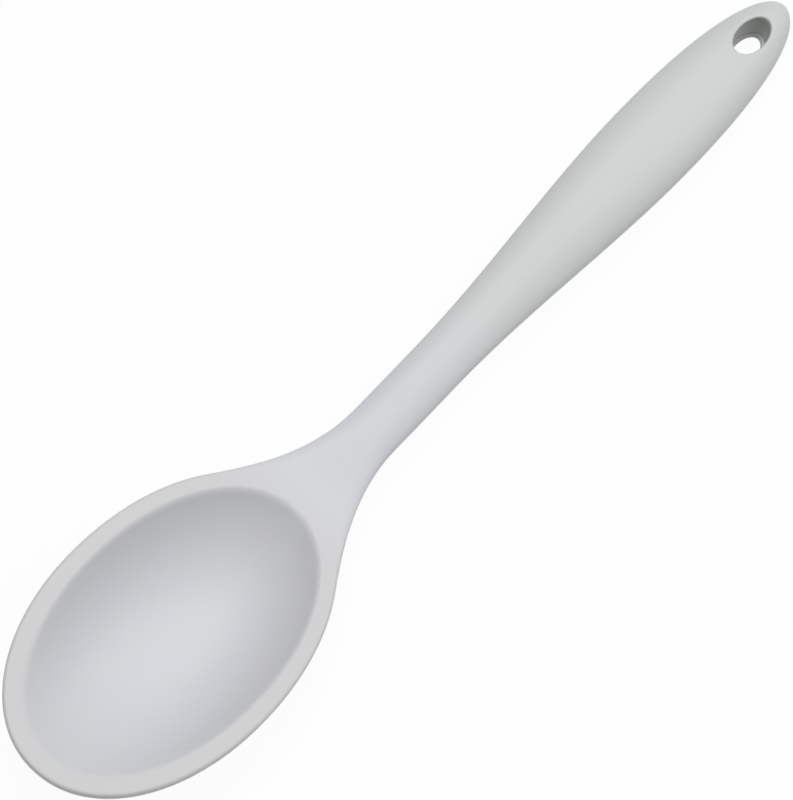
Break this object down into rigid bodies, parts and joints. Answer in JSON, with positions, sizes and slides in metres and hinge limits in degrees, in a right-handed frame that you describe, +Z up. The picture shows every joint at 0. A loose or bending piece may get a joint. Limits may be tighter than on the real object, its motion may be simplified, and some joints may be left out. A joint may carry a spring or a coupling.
{
  "type": "silicone spoon",
  "caption": "Cooking spoon with a deep oval bowl, flat rim, slim neck and swelling oval handle with a hanging hole; silicone skin moulded over a stiff core.",
  "frame": {"origin": "on the table that the spoon lies on, under the middle of its bounding box", "axes": "+X along the spoon from the bowl to the handle's end, +Y across it, +Z up out of the bowl"},
  "size_m": [0.2792, 0.0646, 0.029],
  "materials": {
    "silicone": "matte, light grey, smooth",
    "nylon": "matte, mid grey, moulded"
  },
  "bodies": {
    "root": {"silicone_skin": "silicone", "nylon_core": "nylon"}
  },
  "joints": []
}
